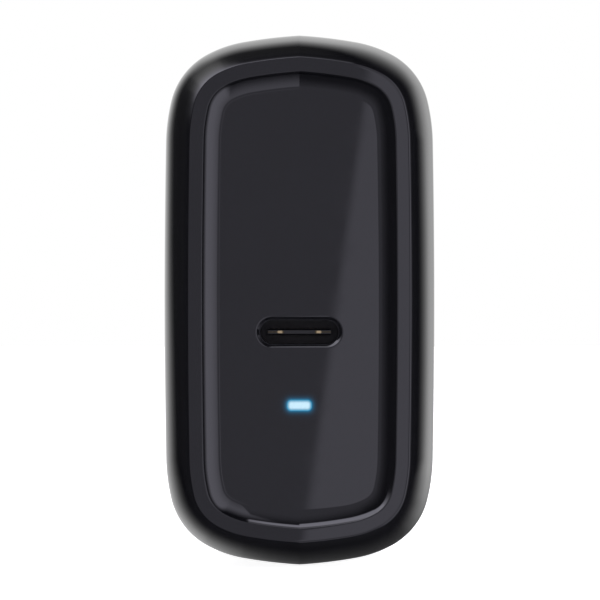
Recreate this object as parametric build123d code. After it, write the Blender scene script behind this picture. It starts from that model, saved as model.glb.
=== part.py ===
"""USB wall charger with a folding plug, one STEP file for each separate piece.

Millimetres. +Z is up, +X is to the right of someone looking at the front, and the front
faces -Y. The origin is on the wall plane, midway between the two prongs, which point +Y.
"""

from build123d import *
import os
from math import acos, cos, degrees, radians, sin

os.makedirs("parts", exist_ok=True)

# Outline of the body seen from the front. One quarter runs from the middle of the side
# round to the low ridge at the top: each arc's radius, and the direction of its outward
# normal where it ends. The last arc ends at the ridge.
HALF_WIDTH = 14.46
OUTLINE_ARCS = [(915, 1.0555), (20.8, 13.4), (7.7, 61.8), (12.9, 79.9), (51.9, None)]
BODY_Z = -9.0  # height of the body's centre below the prongs

# Depths, measured from the wall plane.
FRONT_Y = -36.0  # foremost ring
RIM_Y = -3.0  # joint between the front housing and the rear cover
WALL = 1.8

# Front face. Each turn is in degrees; the slope starts steep at the lip and flattens
# towards the foot.
SHOULDER_R = 8.1
SHOULDER_TURN = 47.5
CREASE_R = 0.3
RING_INNER = 4.08  # from the outline in to the end of the flat ring
LIP_R = 0.1
LIP_TURN = 47
SLOPE_R = 5.25
SLOPE_TURN = 21
FOOT_R = 0.62
PANEL_EDGE = 6.8  # the swept ring ends here, inside the flat panel
SHOULDER_Y = (
    FRONT_Y
    + SHOULDER_R * sin(radians(SHOULDER_TURN))
    + CREASE_R * (1 - cos(radians(90 - SHOULDER_TURN)))
)

# USB-C receptacle and status light.
PORT_Z = BODY_Z - 3.4
PORT_WIDTH, PORT_HEIGHT = 8.5, 2.66
PORT_BEVEL = 0.3
SHELL_WIDTH, SHELL_HEIGHT, SHELL_WALL = 8.94, 3.16, 0.3
SHELL_FRONT_Y = FRONT_Y + 2.2
TONGUE_WIDTH, TONGUE_HEIGHT = 6.69, 0.7
TONGUE_FRONT_Y = SHELL_FRONT_Y + 0.5
TONGUE_BACK_Y = -27.6
INSULATOR_FRONT_Y = -29.0
CONTACT_PITCH, CONTACT_WIDTH, CONTACT_HEIGHT = 0.5, 0.25, 0.08
LIGHT_Z = BODY_Z - 11.17
LIGHT_WIDTH, LIGHT_HEIGHT, LIGHT_CORNER = 2.58, 1.12, 0.45

# Folding plug.
AXIS_Y = -3.6
PRONG_X = 6.35
PRONG_WIDTH, PRONG_THICK, PRONG_OUT = 6.35, 1.5, 17.0
PRONG_HOLE_R, PRONG_HOLE_Y = 1.6, 11.9
HEEL_R = 3.3
BARREL_R, BARREL_END = 3.4, 8.3
TRUNNION_R, TRUNNION_END = 1.5, 10.0
SEAT_GAP = 0.06

# Recess that takes the folded plug.
BAY_HALF_X, BAY_HALF_Z = 8.6, 3.75
CHANNEL_HALF = 1.2
CHANNEL_FLOOR_Y, CHANNEL_END_Z = -7.3, -21.3
TUB_WALL = 1.4
TUB_BACK_Y = -8.7
SCOOP_R, SCOOP_Y, SCOOP_Z = 8.0, 2.9, -15.0
SCOOP_HALF_X = PRONG_X - CHANNEL_HALF
SCREW_Z = 6.6
SCREW_R, SCREW_HEAD_R = 0.78, 1.5

# Circuit boards.
BOARD_BACK_Y, BOARD_FRONT_Y = -11.4, -12.6
OUT_BACK_Y, OUT_FRONT_Y = -26.0, -27.0
LEAD_R = 0.3
TRANSFORMER_X, TRANSFORMER_Y, TRANSFORMER_Z = 2.6, -18.6, -5.0


def block(x0, x1, y0, y1, z0, z1):
    """Box between two corners, given in either order."""
    box = Box(abs(x1 - x0), abs(y1 - y0), abs(z1 - z0))
    return Pos((x0 + x1) / 2, (y0 + y1) / 2, (z0 + z1) / 2) * box


def rod_y(x, z, radius, y0, y1):
    """Round bar parallel to Y."""
    return Pos(x, (y0 + y1) / 2, z) * Rot(90, 0, 0) * Cylinder(radius, y1 - y0)


def rod_x(y, z, radius, x0, x1):
    """Round bar parallel to X."""
    return Pos((x0 + x1) / 2, y, z) * Rot(0, 90, 0) * Cylinder(radius, x1 - x0)


def prism_y(face, y0, y1, x=0, z=0):
    """Flat shape, drawn with x across and y up, thickened from y0 to y1."""
    return Pos(x, y0, z) * extrude(Plane.XZ * face, y1 - y0, dir=(0, 1, 0))


def prism_x(face, x0, x1):
    """Flat shape, drawn in the Y and Z of the part, thickened from x0 to x1."""
    return Pos(x0, 0, 0) * extrude(Plane.YZ * face, x1 - x0, dir=(1, 0, 0))


def both_sides(part):
    """The part and its mirror image across the middle plane."""
    return part + mirror(part, Plane.YZ)


def outline_arcs(inset=0):
    """Centre, radius, start and end angle of each arc of the quarter outline."""
    arcs = []
    start = 0
    centre = Vector(HALF_WIDTH - OUTLINE_ARCS[0][0], 0)
    for radius, end in OUTLINE_ARCS:
        outward = Vector(cos(radians(start)), sin(radians(start)))
        if arcs:
            centre = joint - outward * radius
        if end is None:
            end = degrees(acos(-centre.X / (radius - inset)))
        arcs.append((centre, radius - inset, start, end))
        joint = centre + Vector(cos(radians(end)), sin(radians(end))) * radius
        start = end
    return arcs


def outline_face(inset):
    """Flat shape of the whole outline, moved in by the inset."""
    quarter = [
        CenterArc(centre, radius, start, end - start)
        for centre, radius, start, end in outline_arcs(inset)
    ]
    half = quarter + [mirror(arc, Plane.XZ) for arc in quarter]
    return make_face(half + [mirror(arc, Plane.YZ) for arc in half])


def outline_prism(inset, y0, y1):
    """Plate or plug with the body's outline, moved in by the inset."""
    return prism_y(outline_face(inset), y0, y1, z=BODY_Z)


def carried_round(profile):
    """Solid made by a profile carried round the outline; its x is the inset, its y the depth."""
    pieces = []
    for centre, radius, start, end in outline_arcs():
        axis_point = Vector(centre.X, 0, centre.Y)
        outward = Vector(cos(radians(start)), 0, sin(radians(start)))
        plane = Plane(
            origin=axis_point + outward * radius,
            x_dir=outward * -1,
            z_dir=outward.cross(Vector(0, -1, 0)),
        )
        pieces.append(revolve(plane * profile, Axis(axis_point, (0, -1, 0)), end - start))
    quarter = pieces[0] + pieces[1:]
    quarter &= block(0, 50, -50, 50, 0, 50)
    half = quarter + mirror(quarter, Plane.XY)
    return Pos(0, 0, BODY_Z) * both_sides(half)


def stadium(width, height):
    """Slot shape with round ends."""
    return SlotOverall(width, height)


# Housing


def front_profile():
    """Section through the front housing from its rim over the ring to the panel."""
    side = Line((0, RIM_Y), (0, SHOULDER_Y))
    shoulder = JernArc(side @ 1, side % 1, SHOULDER_R, SHOULDER_TURN)
    crease = JernArc(shoulder @ 1, shoulder % 1, CREASE_R, 90 - SHOULDER_TURN)
    ring = Line(crease @ 1, (RING_INNER, FRONT_Y))
    lip = JernArc(ring @ 1, ring % 1, LIP_R, LIP_TURN)
    slope = JernArc(lip @ 1, lip % 1, SLOPE_R, -SLOPE_TURN)
    foot = JernArc(slope @ 1, slope % 1, FOOT_R, SLOPE_TURN - LIP_TURN)
    panel_y = (foot @ 1).Y
    panel = Line(foot @ 1, (PANEL_EDGE, panel_y))
    inner_turn = SHOULDER_TURN / 2
    inner_start = (WALL, SHOULDER_Y)
    inner = JernArc(inner_start, (0, -1), SHOULDER_R - WALL, inner_turn)
    back_y = panel_y + WALL
    edge = Line(panel @ 1, (PANEL_EDGE, back_y))
    back = Line(edge @ 1, ((inner @ 1).X, back_y))
    step = Line(back @ 1, inner @ 1)
    inner_side = Line(inner_start, (WALL, RIM_Y))
    rim = Line(inner_side @ 1, side @ 0)
    loop = [side, shoulder, crease, ring, lip, slope, foot, panel, edge, back, step]
    return make_face(loop + [inner, inner_side, rim]), panel_y


def front_housing(profile, panel_y):
    """Cup with a rounded shoulder, a raised ring and a sunk panel with two openings."""
    cup = carried_round(profile)
    cup += outline_prism(PANEL_EDGE - 0.1, panel_y, panel_y + WALL)
    cup -= prism_y(stadium(PORT_WIDTH, PORT_HEIGHT), FRONT_Y, RIM_Y, z=PORT_Z)
    seat = stadium(SHELL_WIDTH + 0.1, SHELL_HEIGHT + 0.1)
    cup -= prism_y(seat, SHELL_FRONT_Y, RIM_Y, z=PORT_Z)
    window = RectangleRounded(LIGHT_WIDTH + 0.06, LIGHT_HEIGHT + 0.06, LIGHT_CORNER)
    cup -= prism_y(window, FRONT_Y, RIM_Y, z=LIGHT_Z)
    mouth = cup.edges().filter_by_position(Axis.Y, panel_y - 0.01, panel_y + 0.01)
    mouth = mouth.filter_by_position(Axis.Z, PORT_Z - 2, PORT_Z + 2)
    mouth = mouth.filter_by_position(Axis.X, -5, 5)
    return chamfer(mouth, PORT_BEVEL)


def cover_profile():
    """Section through the edge of the rear cover: flange, reveal groove and locating lip."""
    edge_r = 1.5
    groove = 0.35
    flange_y = RIM_Y + 0.3
    lip_in = WALL + 0.1
    lip_end_y = RIM_Y - 3.2
    side = Line((0, flange_y), (0, -edge_r))
    round_edge = JernArc(side @ 1, side % 1, edge_r, -90)
    outside = Line(round_edge @ 1, (PANEL_EDGE, 0))
    rest = Polyline(
        (PANEL_EDGE, 0),
        (PANEL_EDGE, -2.2),
        (lip_in + 1.4, -2.2),
        (lip_in + 1.4, lip_end_y),
        (lip_in, lip_end_y),
        (lip_in, RIM_Y),
        (groove, RIM_Y),
        (groove, flange_y),
        (0, flange_y),
    )
    return make_face([side, round_edge, outside, rest])


def rear_cover():
    """Back plate with the recess the plug folds into, and the seats the plug turns in."""
    cover = carried_round(cover_profile())
    cover += outline_prism(PANEL_EDGE - 0.1, -2.2, 0)
    seat_wall_end = BAY_HALF_X + 1.6
    bay_z = BAY_HALF_Z + TUB_WALL
    tub_half = CHANNEL_HALF + TUB_WALL
    cover += block(-seat_wall_end, seat_wall_end, TUB_BACK_Y, -1, -bay_z, bay_z)
    channel_end = CHANNEL_END_Z - TUB_WALL
    cover += both_sides(
        block(PRONG_X - tub_half, PRONG_X + tub_half, TUB_BACK_Y, -1, channel_end, 0)
    )
    scoop_tub = rod_x(SCOOP_Y, SCOOP_Z, SCOOP_R + TUB_WALL, -SCOOP_HALF_X, SCOOP_HALF_X)
    cover += scoop_tub & block(-20, 20, -20, -1, -40, 0)
    for z in (SCREW_Z, -SCREW_Z):
        cover += rod_y(0, z, 2.2, TUB_BACK_Y, -1)
        cover -= rod_y(0, z, 0.8, TUB_BACK_Y - 1, -3.4)
    cover -= block(-BAY_HALF_X, BAY_HALF_X, -10, 1, -BAY_HALF_Z, BAY_HALF_Z)
    x0, x1 = PRONG_X - CHANNEL_HALF, PRONG_X + CHANNEL_HALF
    cover -= both_sides(block(x0, x1, CHANNEL_FLOOR_Y, 1, CHANNEL_END_Z, 0))
    cover -= rod_x(SCOOP_Y, SCOOP_Z, SCOOP_R, -x0 - 0.1, x0 + 0.1)
    seat_r = TRUNNION_R + SEAT_GAP
    seat = rod_x(AXIS_Y, 0, seat_r, BAY_HALF_X - 0.5, seat_wall_end + 1)
    seat += block(BAY_HALF_X - 0.5, seat_wall_end + 1, -10, AXIS_Y, -seat_r, seat_r)
    return cover - both_sides(seat)


# Plug


def prong(side):
    """Flat blade with rounded tip corners and a hole, and a round heel behind the pivot."""
    half = PRONG_WIDTH / 2
    blade = Pos((AXIS_Y + PRONG_OUT) / 2, 0) * Rectangle(PRONG_OUT - AXIS_Y, PRONG_WIDTH)
    tip = blade.vertices().group_by(Axis.X)[-1]
    shape = fillet(tip, 1.4) + Pos(AXIS_Y, 0) * Circle(HEEL_R)
    shape -= Pos(PRONG_HOLE_Y, 0) * Circle(PRONG_HOLE_R)
    x = side * PRONG_X
    solid = prism_x(shape, x - PRONG_THICK / 2, x + PRONG_THICK / 2)
    tip_edges = solid.edges().filter_by(Axis.Z).filter_by_position(Axis.Y, half, PRONG_OUT + 1)
    return chamfer(tip_edges, 0.45)


def prong_carrier():
    """Moulded barrel that holds both prongs, with two click flats and a trunnion each end."""
    flat = 3.15
    barrel = rod_x(AXIS_Y, 0, BARREL_R, -BARREL_END, BARREL_END)
    barrel -= block(-2.6, 2.6, AXIS_Y - 5, AXIS_Y - flat, -5, 5)
    barrel -= block(-2.6, 2.6, AXIS_Y - 5, AXIS_Y + 5, -5, -flat)
    barrel += rod_x(AXIS_Y, 0, TRUNNION_R, -TRUNNION_END, TRUNNION_END)
    return barrel - prong(1) - prong(-1)


def prong_retainer():
    """Bridge screwed behind the barrel; its two saddles keep the barrel in its seats."""
    front_y = TUB_BACK_Y - 1.3
    bridge = block(-4.6, 4.6, front_y, TUB_BACK_Y, -8.6, 8.6)
    bridge = fillet(bridge.edges().filter_by(Axis.Y), 1.2)
    saddle = block(3.0, 4.6, TUB_BACK_Y, AXIS_Y - 1.5, -3.3, 3.3)
    saddle -= rod_x(AXIS_Y, 0, BARREL_R + SEAT_GAP, 2, 6)
    bridge += both_sides(saddle)
    for z in (SCREW_Z, -SCREW_Z):
        bridge -= rod_y(0, z, 0.95, front_y - 1, TUB_BACK_Y + 1)
    return bridge


def retainer_screws():
    """Two pan-head screws that hold the retainer."""
    under_head_y = TUB_BACK_Y - 1.3
    head_y = under_head_y - 0.9
    screws = Part()
    for z in (SCREW_Z, -SCREW_Z):
        screw = rod_y(0, z, SCREW_R, under_head_y, -3.6)
        screw += rod_y(0, z, SCREW_HEAD_R, head_y, under_head_y)
        screw -= block(-1.0, 1.0, head_y - 1, head_y + 0.45, z - 0.2, z + 0.2)
        screw -= block(-0.2, 0.2, head_y - 1, head_y + 0.45, z - 1.0, z + 1.0)
        screws += screw
    return screws


def detent_spring():
    """Bowed leaf between the saddles that clicks against the barrel's flats."""
    crown_y = AXIS_Y - BARREL_R - 0.1
    leaf = block(-2.2, 2.2, crown_y - 0.3, crown_y, -2.4, 2.4)
    for side in (1, -1):
        leaf += block(-2.2, 2.2, TUB_BACK_Y, crown_y, side * 2.1, side * 2.4)
        leaf += block(-2.2, 2.2, TUB_BACK_Y, TUB_BACK_Y + 0.3, side * 2.1, side * 3.5)
    return leaf


def contact_spring(side):
    """Omega-shaped strip from the board that touches the heel of one prong."""
    outer, thick, foot = 2.9, 0.4, 2.2
    centre_y = AXIS_Y - HEEL_R - 0.2 - outer
    arch = Pos(centre_y, 0) * (Circle(outer) - Circle(outer - thick))
    arch &= Pos(centre_y + outer / 2, 0) * Rectangle(outer, 2 * outer)
    leg_length = centre_y - BOARD_BACK_Y
    for end in (1, -1):
        leg_z = end * (outer - thick / 2)
        arch += Pos(centre_y - leg_length / 2, leg_z) * Rectangle(leg_length, thick)
        foot_z = end * (outer + foot / 2 - thick / 2)
        arch += Pos(BOARD_BACK_Y + thick / 2, foot_z) * Rectangle(thick, foot)
    x = side * PRONG_X
    return prism_x(arch, x - 0.7, x + 0.7)


# USB-C receptacle and status light


def usb_c_shell():
    """Stadium-shaped tube with four legs that are soldered in the output board."""
    tube = stadium(SHELL_WIDTH, SHELL_HEIGHT)
    bore = stadium(SHELL_WIDTH - 2 * SHELL_WALL, SHELL_HEIGHT - 2 * SHELL_WALL)
    shell = prism_y(tube - bore, SHELL_FRONT_Y, OUT_FRONT_Y)
    leg_z = (SHELL_HEIGHT - SHELL_WALL) / 2
    for x in (-2.6, 2.6):
        for z in (-leg_z, leg_z):
            half = SHELL_WALL / 2
            shell += block(x - 0.4, x + 0.4, OUT_FRONT_Y - 1, OUT_BACK_Y, z - half, z + half)
    return Pos(0, 0, PORT_Z) * shell


def usb_c_tongue():
    """Plastic tongue that the plug slides over, moulded round the metal mid plate."""
    half_x, half_z = TONGUE_WIDTH / 2, TONGUE_HEIGHT / 2
    tongue = block(-half_x, half_x, TONGUE_FRONT_Y, TONGUE_BACK_Y, -half_z, half_z)
    tip = tongue.edges().filter_by(Axis.X).group_by(Axis.Y)[0]
    return Pos(0, 0, PORT_Z) * chamfer(tip, 0.17) - usb_c_mid_plate() - usb_c_contacts()


def usb_c_mid_plate():
    """Two halves of the plate between the contacts, each with a latch tab at its front."""
    plate = block(1.6, TONGUE_WIDTH / 2, TONGUE_FRONT_Y - 0.02, TONGUE_BACK_Y, -0.06, 0.06)
    plate += block(1.66, 2.3, TONGUE_FRONT_Y - 0.08, TONGUE_FRONT_Y + 1.0, -0.13, 0.13)
    return Pos(0, 0, PORT_Z) * both_sides(plate)


def usb_c_insulator():
    """Block that closes the back of the shell and holds the tongue."""
    gap = 0.04
    width = SHELL_WIDTH - 2 * SHELL_WALL - gap
    height = SHELL_HEIGHT - 2 * SHELL_WALL - gap
    body = prism_y(stadium(width, height), INSULATOR_FRONT_Y, OUT_FRONT_Y, z=PORT_Z)
    return body - usb_c_tongue() - usb_c_mid_plate() - usb_c_contacts()


def usb_c_contacts():
    """Twelve gold strips flush in each side of the tongue; the power strips reach further."""
    top = TONGUE_HEIGHT / 2 - CONTACT_HEIGHT
    contacts = Part()
    for number in range(12):
        x = (number - 5.5) * CONTACT_PITCH
        front_y = TONGUE_FRONT_Y + (0.4 if number in (0, 3, 8, 11) else 0.9)
        x0, x1 = x - CONTACT_WIDTH / 2, x + CONTACT_WIDTH / 2
        for z0, z1 in ((top, top + CONTACT_HEIGHT), (-top - CONTACT_HEIGHT, -top)):
            contacts += block(x0, x1, front_y, TONGUE_BACK_Y, z0, z1)
    return Pos(0, 0, PORT_Z) * contacts


def light_pipe(panel_y):
    """Clear window with a flange behind the panel and a stem down to the light."""
    shape = RectangleRounded(LIGHT_WIDTH, LIGHT_HEIGHT, LIGHT_CORNER)
    flange = RectangleRounded(LIGHT_WIDTH + 1.2, LIGHT_HEIGHT + 1.2, LIGHT_CORNER)
    pipe = prism_y(shape, panel_y, OUT_FRONT_Y - 1.0, z=LIGHT_Z)
    return pipe + prism_y(flange, panel_y + WALL, panel_y + WALL + 0.8, z=LIGHT_Z)


# Circuit boards and what stands on them. A through-hole part's leads are listed once as
# (x, z) points, and both the part and the board read them.

LEFT_BULK, RIGHT_BULK, BULK_Z = -5.1, 5.1, 9.4
OUTPUT_CAP_X, OUTPUT_CAP_Z = -7.4, -17.0
CHOKE_X, CHOKE_Z = -5.0, -26.4
BOX_CAP_X, BOX_CAP_Z = 5.6, -27.0
DISC_X, DISC_Z = -7.4, 0.0
FUSE_X, FUSE_Z = -8.3, -8.6
LINK_Z = -18.7

LEADS = {
    "left_bulk_capacitor": [(LEFT_BULK - 1.8, BULK_Z), (LEFT_BULK + 1.8, BULK_Z)],
    "right_bulk_capacitor": [(RIGHT_BULK - 1.8, BULK_Z), (RIGHT_BULK + 1.8, BULK_Z)],
    "output_capacitor": [(OUTPUT_CAP_X - 1.2, OUTPUT_CAP_Z), (OUTPUT_CAP_X + 1.2, OUTPUT_CAP_Z)],
    "choke": [(CHOKE_X + x, CHOKE_Z + z) for x in (-3, 3) for z in (-3, 3)],
    "box_capacitor": [(BOX_CAP_X, BOX_CAP_Z - 3.8), (BOX_CAP_X, BOX_CAP_Z + 3.8)],
    "disc_capacitor": [(DISC_X, DISC_Z - 2.5), (DISC_X, DISC_Z + 2.5)],
    "fuse": [(FUSE_X, FUSE_Z - 2.5), (FUSE_X, FUSE_Z + 2.5)],
    "transformer": [
        (TRANSFORMER_X + x, TRANSFORMER_Z + z) for x in (-3.5, 0, 3.5) for z in (-4.05, 4.05)
    ],
    "link": [(-1.9 + 2.54 * step, LINK_Z) for step in range(4)],
}


def leads(name, from_y, to_y=BOARD_BACK_Y + 0.8):
    """The leads of one part, from its body back through the main board."""
    pins = Part()
    for x, z in LEADS[name]:
        pins += rod_y(x, z, LEAD_R, from_y, to_y)
    return pins


def main_board():
    """Board parallel to the front face, with a hole for every lead."""
    board = outline_prism(3.2, BOARD_FRONT_Y, BOARD_BACK_Y)
    for points in LEADS.values():
        for x, z in points:
            board -= rod_y(x, z, LEAD_R + 0.1, BOARD_FRONT_Y - 1, BOARD_BACK_Y + 1)
    return board


def output_board():
    """Small board behind the panel that carries the receptacle and the light."""
    board = block(-9, 9, OUT_FRONT_Y, OUT_BACK_Y, -27, -4)
    board = fillet(board.edges().filter_by(Axis.Y), 1.5)
    leg_z = (SHELL_HEIGHT - SHELL_WALL) / 2
    for x in (-2.6, 2.6):
        for z in (PORT_Z - leg_z, PORT_Z + leg_z):
            board -= block(x - 0.5, x + 0.5, OUT_FRONT_Y - 1, OUT_BACK_Y + 1, z - 0.25, z + 0.25)
    for x, z in LEADS["link"]:
        board -= rod_y(x, z, LEAD_R + 0.1, OUT_FRONT_Y - 1, OUT_BACK_Y + 1)
    return board


def board_link_pins():
    """Four pins that join the two boards."""
    return leads("link", OUT_FRONT_Y - 0.6)


def link_strip():
    """Plastic strip that spaces the link pins."""
    x0, x1 = LEADS["link"][0][0] - 1.2, LEADS["link"][-1][0] + 1.2
    strip = block(x0, x1, BOARD_FRONT_Y - 2.4, BOARD_FRONT_Y, LINK_Z - 1.1, LINK_Z + 1.1)
    for x, z in LEADS["link"]:
        strip -= rod_y(x, z, LEAD_R, BOARD_FRONT_Y - 5, BOARD_FRONT_Y + 5)
    return strip


def electrolytic(name, x, z, radius, height):
    """Can with a crimped groove near its base, scored top and two leads."""
    base_y = BOARD_FRONT_Y - 0.2
    top_y = base_y - height
    can = rod_y(x, z, radius, top_y, base_y)
    can = fillet(can.edges().filter_by(GeomType.CIRCLE), 0.4)
    groove = rod_y(x, z, radius + 1, base_y - 2.2, base_y - 1.6)
    can -= groove - rod_y(x, z, radius - 0.3, base_y - 3, base_y)
    can -= block(x - radius / 2, x + radius / 2, top_y - 1, top_y + 0.15, z - 0.15, z + 0.15)
    can -= block(x - 0.15, x + 0.15, top_y - 1, top_y + 0.15, z - radius / 2, z + radius / 2)
    return can + leads(name, base_y - 1)


def boxed_part(name, x, z, size_x, size_z, height):
    """Moulded box with rounded edges that stands on two leads."""
    base_y = BOARD_FRONT_Y - 0.2
    body = block(
        x - size_x / 2, x + size_x / 2, base_y - height, base_y, z - size_z / 2, z + size_z / 2
    )
    return fillet(body.edges(), 0.4) + leads(name, base_y - 1)


def disc_capacitor():
    """Coated disc that stands on edge."""
    centre_y = BOARD_FRONT_Y - 4.6
    disc = rod_x(centre_y, DISC_Z, 3.7, DISC_X - 1.4, DISC_X + 1.4)
    disc = fillet(disc.edges().filter_by(GeomType.CIRCLE), 1.0)
    return disc + leads("disc_capacitor", centre_y)


def chip(x, z, size_x, size_z, back_y, front_y, lead_count):
    """Flat chip body with a row of feet along each side."""
    body = block(x - size_x / 2, x + size_x / 2, front_y, back_y, z - size_z / 2, z + size_z / 2)
    body = chamfer(body.edges().filter_by(Axis.Y), 0.2)
    pitch = size_x / lead_count
    foot_y = back_y + (front_y - back_y) * 0.3
    for number in range(lead_count):
        foot_x = x - size_x / 2 + (number + 0.5) * pitch
        reach = size_z / 2 + 0.6
        body += block(
            foot_x - pitch / 4, foot_x + pitch / 4, back_y, foot_y, z - reach, z + reach
        )
    return body


def transformer_core():
    """Upper and lower halves of a ferrite core, each an E shape."""
    core = Box(15, 6.2, 13.4)
    core = fillet(core.edges().filter_by(Axis.Y), 0.4)
    for x in (-3.75, 3.75):
        core -= Pos(x, 0, 0) * Box(3.1, 8, 9.4)
    core = Pos(TRANSFORMER_X, TRANSFORMER_Y, TRANSFORMER_Z) * core
    upper = core & block(-30, 30, -30, 0, TRANSFORMER_Z, 20)
    lower = core & block(-30, 30, -30, 0, -40, TRANSFORMER_Z)
    return upper, lower


def transformer_layer(x, y, wall, height):
    """Rectangular tube with rounded corners round the core's middle leg."""
    outer = Plane.XY * RectangleRounded(x, y, 0.6)
    inner = Plane.XY * RectangleRounded(x - 2 * wall, y - 2 * wall, 0.3)
    tube = extrude(outer - inner, height / 2, both=True)
    return Pos(TRANSFORMER_X, TRANSFORMER_Y, TRANSFORMER_Z) * tube


def transformer_bobbin():
    """Tube with a flange at each end."""
    hole_x, hole_y, wall = 4.6, 6.4, 0.5
    bobbin = transformer_layer(hole_x + 2 * wall, hole_y + 2 * wall, wall, 9.1)
    for end in (1, -1):
        flange = Box(10.2, 11.4, 1.0) - Box(hole_x, hole_y, 2)
        z = TRANSFORMER_Z + end * 4.05
        bobbin += Pos(TRANSFORMER_X, TRANSFORMER_Y, z) * flange
    return bobbin - leads("transformer", TRANSFORMER_Y + 4.2)


def choke_core():
    """Ferrite ring."""
    y1 = BOARD_FRONT_Y - 1.0
    ring = rod_y(CHOKE_X, CHOKE_Z, 4.3, y1 - 4.4, y1)
    ring -= rod_y(CHOKE_X, CHOKE_Z, 2.3, y1 - 9, y1 + 9)
    return fillet(ring.edges().filter_by(GeomType.CIRCLE), 0.3)


def choke_winding():
    """Two windings, one on each half of the ring."""
    y1 = BOARD_FRONT_Y - 0.5
    sleeve = rod_y(CHOKE_X, CHOKE_Z, 4.8, y1 - 5.4, y1)
    sleeve -= rod_y(CHOKE_X, CHOKE_Z, 1.8, y1 - 9, y1 + 9)
    sleeve = fillet(sleeve.edges().filter_by(GeomType.CIRCLE), 0.45)
    sleeve -= rod_y(CHOKE_X, CHOKE_Z, 4.32, y1 - 4.92, y1 - 0.48) - rod_y(
        CHOKE_X, CHOKE_Z, 2.28, y1 - 9, y1 + 9
    )
    sleeve -= block(CHOKE_X - 1.0, CHOKE_X + 1.0, -30, 0, CHOKE_Z - 9, CHOKE_Z + 9)
    return sleeve + leads("choke", y1 - 0.3)


def folded_sheet(thick, side_x, front_y, left_x, z0, z1, back_y):
    """L-shaped sheet: one leg beside the parts and one in front of them."""
    sheet = block(side_x - thick, side_x, front_y, back_y, z0, z1)
    sheet += block(left_x, side_x, front_y, front_y + thick, z0, z1)
    corner = sheet.edges().filter_by(Axis.Z).group_by(Axis.Y)[0].sort_by(Axis.X)[-1]
    return fillet(corner, thick * 0.9)


def main():
    profile, panel_y = front_profile()
    core_upper, core_lower = transformer_core()
    parts = {
        "front_housing": front_housing(profile, panel_y),
        "rear_cover": rear_cover(),
        "light_pipe": light_pipe(panel_y),
        "usb_c_shell": usb_c_shell(),
        "usb_c_tongue": usb_c_tongue(),
        "usb_c_mid_plate": usb_c_mid_plate(),
        "usb_c_insulator": usb_c_insulator(),
        "usb_c_contacts": usb_c_contacts(),
        "status_led": block(-0.8, 0.8, OUT_FRONT_Y - 0.7, OUT_FRONT_Y, LIGHT_Z - 0.4, LIGHT_Z + 0.4),
        "left_prong": prong(-1),
        "right_prong": prong(1),
        "prong_carrier": prong_carrier(),
        "prong_retainer": prong_retainer(),
        "retainer_screws": retainer_screws(),
        "detent_spring": detent_spring(),
        "left_contact_spring": contact_spring(-1),
        "right_contact_spring": contact_spring(1),
        "main_board": main_board(),
        "output_board": output_board(),
        "board_link_pins": board_link_pins(),
        "link_strip": link_strip(),
        "left_bulk_capacitor": electrolytic("left_bulk_capacitor", LEFT_BULK, BULK_Z, 4.4, 12.4),
        "right_bulk_capacitor": electrolytic("right_bulk_capacitor", RIGHT_BULK, BULK_Z, 4.4, 12.4),
        "output_capacitor": electrolytic("output_capacitor", OUTPUT_CAP_X, OUTPUT_CAP_Z, 3.15, 9),
        "box_capacitor": boxed_part("box_capacitor", BOX_CAP_X, BOX_CAP_Z, 6, 11, 9.5),
        "fuse": boxed_part("fuse", FUSE_X, FUSE_Z, 4, 8, 7.5),
        "disc_capacitor": disc_capacitor(),
        "bridge_rectifier": chip(-0.5, -14.6, 6.2, 4.4, BOARD_FRONT_Y, BOARD_FRONT_Y - 1.5, 2),
        "switching_chip": chip(7.0, -14.6, 5.0, 4.0, BOARD_FRONT_Y, BOARD_FRONT_Y - 1.0, 4),
        "output_rectifier": chip(0, -23.4, 5.0, 4.0, OUT_BACK_Y, OUT_BACK_Y + 1.0, 4),
        "port_controller": chip(5.4, -24.0, 4.0, 3.4, OUT_FRONT_Y, OUT_FRONT_Y - 0.9, 5),
        "transformer_core_upper": core_upper,
        "transformer_core_lower": core_lower,
        "transformer_bobbin": transformer_bobbin(),
        "transformer_winding": transformer_layer(9.1, 10.9, 1.7, 6.9),
        "transformer_tape": transformer_layer(9.54, 11.34, 0.2, 6.4),
        "transformer_pins": leads("transformer", TRANSFORMER_Y + 4.2),
        "choke_core": choke_core(),
        "choke_winding": choke_winding(),
        "heat_spreader": folded_sheet(0.4, 11.6, -25.2, -3.0, -12, 1.5, -13.4),
        "thermal_pad": block(-1.5, 6.5, -24.78, -24.32, -9.4, -0.6),
        "insulating_sheet": folded_sheet(0.15, 11.85, -25.55, -3.6, -13, 2.5, -12.8),
    }
    for name, part in parts.items():
        export_step(part, f"parts/{name}.step")
        print(name, "solids", len(part.solids()), "volume", round(part.volume, 2), part.is_valid)


main()
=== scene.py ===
"""Look of a gloss black usb wall charger with a folding plug and a lit status window.

Metres, in the frame of the CAD: +Z is up, the front faces -Y and the wall plane is y = 0.
"""

from math import acos, copysign, cos, degrees, pi, radians, sin, tan

import bmesh
import bpy
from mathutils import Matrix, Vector
from mathutils.geometry import tessellate_polygon


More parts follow.
